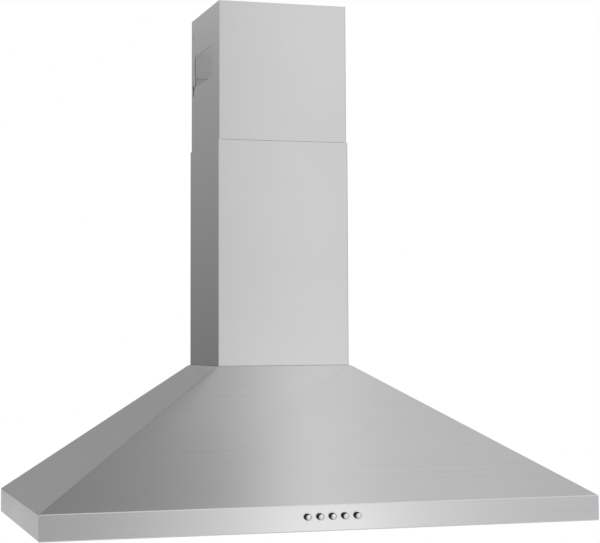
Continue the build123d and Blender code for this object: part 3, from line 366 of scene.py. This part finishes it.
# canopy sheets, brushed level with the floor
hoodSheet = {
    "colour": (0.68, 0.68, 0.682),
    "toneSpread": 0.027,
    "stretch": (7, 7, 2200),
    "driftSize": 5.0,
    "roughLow": 0.17,
    "roughHigh": 0.21,
    "driftRough": 0.012,
    "bump": 0.06,
    "bumpDepth": 0.00004,
    "anisotropy": 0.5,
    "upright": (0.02, 0.03, 1.0),
}

# flue sheets: the same outside except for a band of painted shade along the foot; dull mill finish
# inside, with painted shade in the folds and on the cut edges
flueLow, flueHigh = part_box("lower_flue")
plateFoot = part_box("upper_flue_bracket")[0].z
flueInner = {
    "middle": (flueLow + flueHigh) / 2,
    "innerEdge": (-0.01, -0.03),
    "colour": (0.71, 0.71, 0.715),
    "rough": 0.45,
    # the colour of the painted shade in the folds, on the cut edges and along the foot
    "darkTone": (0.025, 0.025, 0.026),
    # where the painted shade lies in the inner folds at the back
    "foldShadeSide": (0.1055, 0.12),
    "foldShadeDepth": (-0.012, 0.0),
    # where the painted shade lies on the cut edges of the openings
    "sideSheet": (0.1122, 0.12),
    "openings": (-0.2, -0.008),
    "endwise": (-0.3, 0.3),
    "window": (-0.2, -0.03),
    "underPlate": (plateFoot - 0.05, plateFoot),
    "edgeShadeUnderPlateShare": 0.55,
    # a band of painted shade along the flue's foot
    "foot": (flueLow.z + 0.0008, flueLow.z + 0.0014),
    "footShare": 0.45,
}
flueSheet = dict(hoodSheet, inside=flueInner)

# pan under the canopy, brushed from side to side
panSheet = dict(hoodSheet, stretch=(7, 2200, 7), upright=(0.02, 1.0, 0.03))
panSheet.update(roughLow=0.24, roughHigh=0.3)

# filters and latches, satin, brushed from front to back
filterSheet = {
    "colour": (0.63, 0.63, 0.637),
    "toneSpread": 0.05,
    "stretch": (1600, 8, 1600),
    "driftSize": 9.0,
    "roughLow": 0.28,
    "roughHigh": 0.38,
    "driftRough": 0.02,
    "bump": 0.08,
    "bumpDepth": 0.00005,
    "anisotropy": 0.5,
    "upright": (1.0, 0.02, 0.03),
}

# back panel, top plate, blower housing, boxes and brackets
zincSheet = {
    "cells": 120.0,
    "darkTone": (0.6, 0.607, 0.612),
    "lightTone": (0.71, 0.716, 0.72),
    "roughLow": 0.34,
    "roughHigh": 0.5,
    "bump": 0.25,
    "bumpDepth": 0.00005,
}
# a lighter copy of the zinc for the plate inside the flue: painted light that brightens it where the
# flue is dim
paintedLightBracketSheet = dict(zincSheet, darkTone=(0.76, 0.763, 0.766), lightTone=(0.82, 0.823, 0.826))
paintedLightBracketSheet.update(roughLow=0.45, roughHigh=0.6)

# button caps and lamp bezels
chromePlate = {
    "stretch": (260, 260, 260),
    "driftSize": 30.0,
    "darkTone": (0.64, 0.64, 0.65),
    "lightTone": (0.7, 0.7, 0.71),
    "roughLow": 0.12,
    "roughHigh": 0.18,
    "bump": 0.02,
    "bumpDepth": 0.00003,
}

# screws, damper pin and motor shaft
brightSteel = {
    "stretch": (900, 900, 900),
    "driftSize": 30.0,
    "darkTone": (0.58, 0.58, 0.59),
    "lightTone": (0.7, 0.7, 0.7),
    "roughLow": 0.2,
    "roughHigh": 0.34,
    "bump": 0.12,
    "bumpDepth": 0.00003,
}

lampCan = {
    "stretch": (20, 20, 3000),
    "driftSize": 30.0,
    "darkTone": (0.68, 0.68, 0.69),
    "lightTone": (0.76, 0.76, 0.77),
    "roughLow": 0.22,
    "roughHigh": 0.34,
    "bump": 0.1,
    "bumpDepth": 0.00003,
}

lampGlass = {
    "grainSize": 2600.0,
    "darkTone": (0.9, 0.9, 0.87),
    "lightTone": (0.95, 0.95, 0.93),
    "roughLow": 0.42,
    "roughHigh": 0.6,
    "bump": 0.3,
    "bumpDepth": 0.00005,
    "clear": 0.85,
    "ior": 1.5,
}

lampBoard = {
    "grainSize": 900.0,
    "darkTone": (0.8, 0.8, 0.77),
    "lightTone": (0.88, 0.88, 0.86),
    "rubTone": (0.7, 0.6, 0.4),
    "rubShare": 0.3,
    "breakUp": 160.0,
    "roughLow": 0.35,
    "roughHigh": 0.45,
    "gloss": 0.5,
    "bump": 0.05,
    "bumpDepth": 0.00005,
}

# duct collar, damper leaves and switch bank
blackMoulding = {
    "grainSize": 1800.0,
    "darkTone": (0.035, 0.035, 0.037),
    "lightTone": (0.055, 0.055, 0.058),
    "rubTone": (0.11, 0.11, 0.11),
    "rubShare": 0.5,
    "breakUp": 160.0,
    "roughLow": 0.42,
    "roughHigh": 0.58,
    "gloss": 0.5,
    "bump": 0.2,
    "bumpDepth": 0.00012,
}
fanMoulding = dict(blackMoulding, darkTone=(0.1, 0.1, 0.108), lightTone=(0.135, 0.135, 0.145))
fanMoulding.update(grainSize=1200.0)

# paint that wears through to bare metal at the edges
motorPaint = {
    "grainSize": 500.0,
    "darkTone": (0.135, 0.135, 0.142),
    "lightTone": (0.175, 0.175, 0.182),
    "rubTone": (0.5, 0.5, 0.5),
    "rubShare": 0.8,
    "breakUp": 160.0,
    "metalUnder": True,
    "roughLow": 0.36,
    "roughHigh": 0.48,
    "gloss": 0.5,
    "bump": 0.25,
    "bumpDepth": 0.0002,
}

# motor grommets, the strip between the flues, and cables
softRubber = dict(blackMoulding, darkTone=(0.02, 0.02, 0.02), lightTone=(0.035, 0.035, 0.034))
softRubber.update(roughLow=0.7, roughHigh=0.85, gloss=0.3)
stripRubber = dict(softRubber, darkTone=(0.1, 0.1, 0.1), lightTone=(0.14, 0.14, 0.14))
cableJacket = dict(softRubber, darkTone=(0.05, 0.05, 0.052), lightTone=(0.075, 0.075, 0.078))
cableJacket.update(grainSize=900.0)

# cable clips, lamp driver and terminal block
whiteMoulding = {
    "grainSize": 1600.0,
    "darkTone": (0.8, 0.8, 0.775),
    "lightTone": (0.87, 0.87, 0.85),
    "rubTone": (0.9, 0.9, 0.88),
    "rubShare": 0.4,
    "breakUp": 160.0,
    "roughLow": 0.38,
    "roughHigh": 0.5,
    "gloss": 0.5,
    "bump": 0.12,
    "bumpDepth": 0.0001,
}
capacitorCan = dict(whiteMoulding, darkTone=(0.76, 0.76, 0.74), lightTone=(0.83, 0.83, 0.81))
capacitorCan.update(roughLow=0.2, roughHigh=0.28, bump=0.04)

# finishes by material slot
finishes = {
    "brushed_stainless": brushedSteel("hoodBrushedSteel", hoodSheet),
    "satin_stainless": brushedSteel("filterSatinSteel", filterSheet),
    "zinc_sheet": zincCoated("galvanisedSheet", zincSheet),
    "polished_chrome": platedMetal("chromePlate", chromePlate),
    "bright_steel": platedMetal("brightZincSteel", brightSteel),
    "lamp_aluminium": platedMetal("spunAluminium", lampCan),
    "frosted_glass": frostedGlass("lampFrostedGlass", lampGlass),
    "board": moulded("lampBoard", lampBoard),
    "black_plastic": moulded("blackMoulding", blackMoulding),
    "fan_plastic": moulded("fanMoulding", fanMoulding),
    "motor_paint": moulded("motorPaint", motorPaint),
    "black_rubber": moulded("softRubber", softRubber),
    "cable_jacket": moulded("cableJacket", cableJacket),
    "white_plastic": moulded("whiteMoulding", whiteMoulding),
    "capacitor_can": moulded("capacitorCan", capacitorCan),
}
flueFinish = brushedSteel("flueBrushedSteel", flueSheet)

# nodes that differ from the rest of their slot
ownFinishes = {
    "bottom_pan": brushedSteel("panBrushedSteel", panSheet),
    "lower_flue": flueFinish,
    "upper_flue": flueFinish,
    # the plate inside the flue takes the lighter zinc copy, which is painted light
    "upper_flue_bracket": zincCoated("bracketZincPaintedLight", paintedLightBracketSheet),
    "flue_strip": moulded("stripRubber", stripRubber),
}


def coverWith(piece, finish):
    piece.data.materials.clear()
    piece.data.materials.append(finish)


for part in record["subparts"]:
    node = part["node"]
    coverWith(nodes[node], ownFinishes.get(node, finishes[part["material_slot"]]))
print("finishes on", len(record["subparts"]), "nodes")


# push buttons: a black moulded barrel with a bright pressed cap
barrelMoulding = dict(blackMoulding, darkTone=(0.008, 0.008, 0.009))
barrelMoulding.update(lightTone=(0.014, 0.014, 0.015), gloss=0.2)
barrelFinish = moulded("buttonBarrel", barrelMoulding)
buttonShape = {
    "count": 5,
    "headLength": 0.0125,
    "stemRadius": 0.003,
    "barrelEdge": 0.0006,
    "capRadius": 0.00435,
    "capRise": 0.0004,
    "capSink": 0.0002,
    "capEdge": 0.0004,
    "capDish": 0.00012,
    "dishLine": ((0.0, 1.0), (0.45, 0.8), (0.8, 0.25)),  # shares of the cap's radius and dish
    "edgeSteps": 6,
    "segments": 64,
    "sharpAngle": 35,
}


# a turned piece round a line along Y, from (radius, depth) points
def turnPiece(name, centre, profile, shape):
    segments = shape["segments"]
    work = bmesh.new()
    rings = []
    for radius, depth in profile:
        if radius <= 0:
            rings.append([work.verts.new((centre.x, depth, centre.z))])
            continue
        ring = []
        for step in range(segments):
            angle = 2 * pi * step / segments
            x = centre.x + radius * cos(angle)
            z = centre.z + radius * sin(angle)
            ring.append(work.verts.new((x, depth, z)))
        rings.append(ring)
    for first, second in zip(rings, rings[1:]):
        for step in range(segments):
            after = (step + 1) % segments
            corners = [first[step % len(first)], first[after % len(first)]]
            corners += [second[after % len(second)], second[step % len(second)]]
            work.faces.new(list(dict.fromkeys(corners)))
    bmesh.ops.recalc_face_normals(work, faces=work.faces)
    mesh = bpy.data.meshes.new(name)
    work.to_mesh(mesh)
    work.free()
    mesh.shade_smooth()
    mesh.set_sharp_from_angle(angle=radians(shape["sharpAngle"]))
    piece = bpy.data.objects.new(name, mesh)
    bpy.context.scene.collection.objects.link(piece)
    return piece


def roundedEdge(radius, depth, size, steps):
    return [
        (radius - size + size * sin(turn), depth + size - size * cos(turn))
        for turn in [pi / 2 * step / steps for step in range(steps + 1)]
    ]


def makeButton(number, shape):
    node = f"button_{number}"
    low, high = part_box(node)
    centre = (low + high) / 2
    headRadius = (high.x - low.x) / 2
    stemRadius = shape["stemRadius"]
    headBack = low.y + shape["headLength"]
    capBack = low.y + shape["capRise"]
    profile = [(0, capBack)]
    profile += roundedEdge(headRadius, capBack, shape["barrelEdge"], shape["edgeSteps"])
    profile += [(headRadius, headBack), (stemRadius, headBack), (stemRadius, high.y), (0, high.y)]
    barrel = turnPiece(f"buttonBarrel_{number}", centre, profile, shape)
    coverWith(barrel, barrelFinish)
    capRadius = shape["capRadius"]
    capFoot = capBack + shape["capSink"]
    face = [(capRadius * out, low.y + shape["capDish"] * deep) for out, deep in shape["dishLine"]]
    face += roundedEdge(capRadius, low.y, shape["capEdge"], shape["edgeSteps"])
    face += [(capRadius, capFoot), (0, capFoot)]
    cap = turnPiece(f"buttonCap_{number}", centre, face, shape)
    coverWith(cap, finishes["polished_chrome"])
    for piece, slot in ((barrel, "black_plastic"), (cap, "polished_chrome")):
        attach(piece, f"button_{number}_body")
    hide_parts(node)


for number in range(1, buttonShape["count"] + 1):
    makeButton(number, buttonShape)
print("buttons turned:", buttonShape["count"])


# pale floor well below the hood, fading into the white background, clear from underneath
floorLook = {
    "size": 5.0,
    "place": (0, -0.25, -0.65),
    "colour": (0.83, 0.83, 0.83),
    "speckleSize": 40.0,
    "speckleDetail": 3.0,
    "speckleShade": 0.985,
    "fadeFrom": 1.2,
    "fadeTo": 2.3,
}


def makeFloor(look):
    mesh = bpy.data.meshes.new("floor")
    half = look["size"] / 2
    corners = [(-half, -half, 0), (half, -half, 0), (half, half, 0), (-half, half, 0)]
    mesh.from_pydata(corners, [], [(0, 1, 2, 3)])
    floor = bpy.data.objects.new("floor", mesh)
    floor.location = look["place"]
    bpy.context.scene.collection.objects.link(floor)
    made = bpy.data.materials.new("paleFloor")
    made.use_nodes = True
    tree = made.node_tree
    tree.nodes.clear()
    place = addNode(tree, "TexCoord").outputs["Object"]
    speckle = addNoise(tree, place, look["speckleSize"], look["speckleDetail"])[0]
    darker = opaque([c * look["speckleShade"] for c in look["colour"]])
    paint = blendColours(tree, speckle, opaque(look["colour"]), darker)
    matt = addNode(tree, "BsdfDiffuse", {"Color": paint}).outputs[0]
    white = addNode(tree, "Emission", {"Color": (1, 1, 1, 1), "Strength": 1.0}).outputs[0]
    out = addVectorMath(tree, "LENGTH", place)
    fade = easeBetween(tree, out, look["fadeFrom"], look["fadeTo"])
    rays = addNode(tree, "LightPath").outputs
    toCamera = rays["Is Camera Ray"]
    seen = addAll(tree, toCamera, rays["Is Glossy Ray"], rays["Is Transmission Ray"])
    share = multiplyAll(tree, fade, addMath(tree, "MINIMUM", seen, 1.0))
    shown = addNode(tree, "MixShader", {0: share, 1: matt, 2: white}).outputs[0]
    underside = addNode(tree, "NewGeometry").outputs["Backfacing"]
    below = multiplyAll(tree, underside, toCamera)
    clear = addNode(tree, "BsdfTransparent").outputs[0]
    shown = addNode(tree, "MixShader", {0: below, 1: shown, 2: clear}).outputs[0]
    addNode(tree, "OutputMaterial", {"Surface": shown})
    mesh.materials.append(made)


makeFloor(floorLook)
print("floor laid")

# studio round the hood, by direction: x to the right, y away from the camera, z up
studio = {
    # front wall, mirrored in the flue and the rim
    "frontLow": 0.43,
    "frontRise": 0.62,
    "frontEdge": (0.123, 0.302),
    "frontFall": 0.37,
    "frontEnd": (0.235, 0.416),
    "frontLeft": 0.34,
    "frontLeftEdge": (0.05, -0.14),
    "frontDip": 0.035,
    "frontDipEdge": (-0.09, 0.0),
    "frontTall": 0.105,
    "frontTallEdge": (0.0, 0.2),
    "frontFar": -0.24,
    "frontFarPlace": -0.6,
    "frontFarWidth": 0.2,
    "frontDark": 0.32,
    "frontDarkEdge": (0.5, 0.72),
    # soft lamp low on the front wall, mirrored in the rim
    "lowLamp": 1.0,
    "lowLampPlace": 0.288,
    "lowLampWidth": 0.028,
    "lowLampTop": (-0.04, -0.12),
    # overhead bank, mirrored in the front slope
    "overLow": 0.25,
    "overStep": 0.123,
    "overStepEdge": (0.115, 0.216),
    "overRise": 0.307,
    "overEdge": (0.21, 0.272),
    "overFall": 0.1,
    "overEnd": (0.388, 0.419),
    "overStrip": 0.42,
    "overStripPlace": 0.28,
    "overStripWidth": 0.019,
    "overLeft": 0.22,
    "overLeftEdge": (0.06, -0.1),
    "overFar": 0.12,
    "overFarPlace": 0.64,
    "overFarWidth": 0.1,
    "overFront": 1.45,
    "overFrontEdge": (0.14, -0.14),
    # behind on the left: dark at the horizon, lighter high up and towards the floor
    "behindLow": 0.205,
    "behindHigh": 0.38,
    "behindNear": 0.12,
    "behindNearEdge": (-0.12, 0.0),
    "behindEdge": (-0.03, 0.14),
    "behindTop": 0.17,
    "behindTopEdge": (0.15, 0.2),
    "behindTopSide": (-0.05, -0.15),
    "behindFloor": 0.5,
    "behindFloorEdge": (-0.02, -0.1),
    "behindFloorSide": (-0.19, -0.13),
    # where what is behind gives way to the front wall, and the walls to the overhead bank
    "wallEdge": (0.3, -0.3),
    "overheadEdge": (0.45, 0.75),
    # white backdrop behind the hood
    "backdropSide": (0.1, 0.18),
    "backdropDepth": (0.5, 0.8),
}


def makeStudio(look):
    world = bpy.data.worlds.new("studio")
    bpy.context.scene.world = world
    world.use_nodes = True
    tree = world.node_tree
    tree.nodes.clear()
    way = addNode(tree, "TexCoord").outputs["Generated"]
    x, y, z = addNode(tree, "SeparateXYZ", {0: way}).outputs[:]

    def rise(value, edge, low=0.0, high=1.0):
        return easeBetween(tree, value, *look[edge], low, high)

    # a soft round peak in a value
    def peak(value, name):
        offset = addMath(tree, "SUBTRACT", value, look[name + "Place"])
        away = addMath(tree, "DIVIDE", offset, look[name + "Width"])
        hump = addMath(tree, "EXPONENT", multiplyAll(tree, away, away, -1.0))
        return multiplyAll(tree, hump, look[name])

    front = addAll(
        tree,
        rise(x, "frontEdge", look["frontLow"], look["frontLow"] + look["frontRise"]),
        rise(x, "frontEnd", 0.0, -look["frontFall"]),
        rise(x, "frontDarkEdge", 0.0, -look["frontDark"]),
        rise(x, "frontLeftEdge", 0.0, look["frontLeft"]),
        peak(x, "frontFar"),
        multiplyAll(tree, peak(x, "lowLamp"), rise(z, "lowLampTop")),
    )
    tall = addAll(
        tree,
        rise(z, "frontDipEdge", 1.0, 1.0 - look["frontDip"]),
        rise(z, "frontTallEdge", 0.0, look["frontTall"]),
    )
    front = multiplyAll(tree, front, tall)
    over = addAll(
        tree,
        rise(x, "overStepEdge", look["overLow"], look["overLow"] + look["overStep"]),
        rise(x, "overEdge", 0.0, look["overRise"]),
        rise(x, "overEnd", 0.0, -look["overFall"]),
        rise(x, "overLeftEdge", 0.0, look["overLeft"]),
        peak(x, "overStrip"),
        peak(addMath(tree, "ABSOLUTE", x), "overFar"),
    )
    over = multiplyAll(tree, over, rise(y, "overFrontEdge", 1.0, look["overFront"]))
    topLight = rise(x, "behindTopSide", 0.0, look["behindTop"])
    floorLight = rise(x, "behindFloorSide", 0.0, look["behindFloor"])
    behind = addAll(
        tree,
        easeBetween(tree, z, *look["behindEdge"], look["behindLow"], look["behindHigh"], "LINEAR"),
        multiplyAll(tree, rise(z, "behindTopEdge"), topLight),
        multiplyAll(tree, rise(z, "behindFloorEdge"), floorLight),
    )
    behind = multiplyAll(tree, behind, rise(x, "behindNearEdge", 1.0, 1.0 - look["behindNear"]))
    walls = blendValues(tree, rise(y, "wallEdge"), behind, front)
    light = blendValues(tree, rise(z, "overheadEdge"), walls, over)
    # the camera sees the backdrop everywhere, metal and glass see it behind the hood
    rays = addNode(tree, "LightPath").outputs
    mirrored = addAll(tree, rays["Is Glossy Ray"], rays["Is Transmission Ray"])
    zone = multiplyAll(tree, rise(x, "backdropSide"), rise(y, "backdropDepth"))
    seen = addMath(tree, "MULTIPLY_ADD", mirrored, zone, rays["Is Camera Ray"])
    shown = blendValues(tree, addMath(tree, "MINIMUM", seen, 1.0), light, 1.0)
    back = addNode(tree, "Background", {"Color": shown, "Strength": 1.0}).outputs[0]
    addNode(tree, "OutputWorld", {"Surface": back})


makeStudio(studio)

# soft lamps for the painted and moulded pieces; the sheet mirrors the studio instead
lamps = {
    "keyLamp": {"place": (1.6, -2.2, 2.4), "size": 1.6, "power": 45},
    "fillLamp": {"place": (-2.2, -1.6, 1.2), "size": 1.4, "power": 14},
}
lampTarget = Vector((0, -0.25, 0.3))


def makeLamp(name, look):
    data = bpy.data.lights.new(name, "AREA")
    data.size = look["size"]
    data.energy = look["power"]
    lamp = bpy.data.objects.new(name, data)
    lamp.location = look["place"]
    lamp.rotation_euler = (lampTarget - lamp.location).to_track_quat("-Z", "Y").to_euler()
    lamp.visible_camera = False
    lamp.visible_glossy = False
    bpy.context.scene.collection.objects.link(lamp)


for name, look in lamps.items():
    makeLamp(name, look)

camera = {
    "place": (-0.79212, -3.10652, 0.29275),
    "turn": (94.53614, 0.34822, -17.32622),
    "lens": 104.874,
    "sensor": 36.0,
    "shift": (-0.07437, -0.11653),
    "clip": (0.05, 60.0),
}


def makeCamera(look):
    data = bpy.data.cameras.new("camera")
    data.sensor_width = look["sensor"]
    data.lens = look["lens"]
    data.shift_x, data.shift_y = look["shift"]
    data.clip_start, data.clip_end = look["clip"]
    made = bpy.data.objects.new("camera", data)
    made.location = look["place"]
    made.rotation_euler = [radians(angle) for angle in look["turn"]]
    bpy.context.scene.collection.objects.link(made)
    bpy.context.scene.camera = made


makeCamera(camera)
bpy.context.scene.view_settings.view_transform = "Standard"
print("studio, lamps and camera placed")
